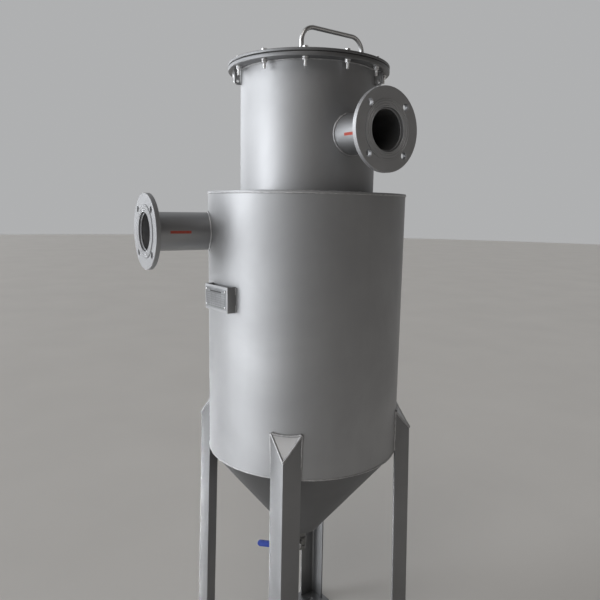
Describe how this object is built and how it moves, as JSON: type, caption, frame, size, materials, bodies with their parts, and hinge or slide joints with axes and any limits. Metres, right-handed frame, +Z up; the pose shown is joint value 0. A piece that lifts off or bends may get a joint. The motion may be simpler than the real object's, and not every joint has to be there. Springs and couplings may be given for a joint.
{
  "type": "cyclone separator",
  "caption": "Upright cyclone separator: stepped steel vessel with a cone, bolted cover, side inlet, side outlet and drain valve, on angle-iron legs.",
  "frame": {"origin": "on the floor, on the vessel's vertical axis", "axes": "+Z up along the vessel's axis, +X the way the outlet points, -Y the side of the inlet"},
  "size_m": [0.6279, 0.7533, 1.9785],
  "materials": {
    "blasted_stainless": "bead-blasted satin stainless steel",
    "bright_stainless": "bright drawn stainless steel",
    "valve_stainless": "cast stainless steel, satin",
    "gasket_rubber": "matt black",
    "blue_vinyl": "dipped vinyl, glossy",
    "plate_metal": "etched plate, satin"
  },
  "bodies": {
    "vessel": {"lower_shell": "blasted_stainless", "shoulder_plate": "blasted_stainless", "cone": "blasted_stainless", "upper_shell": "blasted_stainless", "body_flange": "blasted_stainless", "cover_gasket": "gasket_rubber", "cover": "blasted_stainless", "cover_bolts": "bright_stainless", "cover_washers": "bright_stainless", "cover_nuts": "bright_stainless", "cover_handle": "bright_stainless", "inlet_pipe": "blasted_stainless", "inlet_flange": "blasted_stainless", "outlet_pipe": "blasted_stainless", "outlet_flange": "blasted_stainless", "leg_front_right": "blasted_stainless", "leg_front_left": "blasted_stainless", "leg_back_left": "blasted_stainless", "leg_back_right": "blasted_stainless", "leg_cap_front_right": "blasted_stainless", "leg_cap_front_left": "blasted_stainless", "leg_cap_back_left": "blasted_stainless", "leg_cap_back_right": "blasted_stainless", "foot_front_right": "blasted_stainless", "foot_front_left": "blasted_stainless", "foot_back_left": "blasted_stainless", "foot_back_right": "blasted_stainless", "drain_nipple": "blasted_stainless", "valve_body": "valve_stainless", "gland_nut": "valve_stainless", "name_plate_bracket": "blasted_stainless", "name_plate": "plate_metal", "lifting_lug_right": "blasted_stainless", "lifting_lug_left": "blasted_stainless"},
    "valve_lever": {"valve_stem": "bright_stainless", "valve_lever": "bright_stainless", "lever_nut": "bright_stainless", "lever_sleeve": "blue_vinyl"}
  },
  "joints": [
    {"name": "drain_valve_turn", "type": "hinge", "parent": "vessel", "child": "valve_lever", "pos_m": [0, 0, 0.431], "axis": [0.7071, -0.7071, 0], "range_deg": [0, 90]}
  ]
}
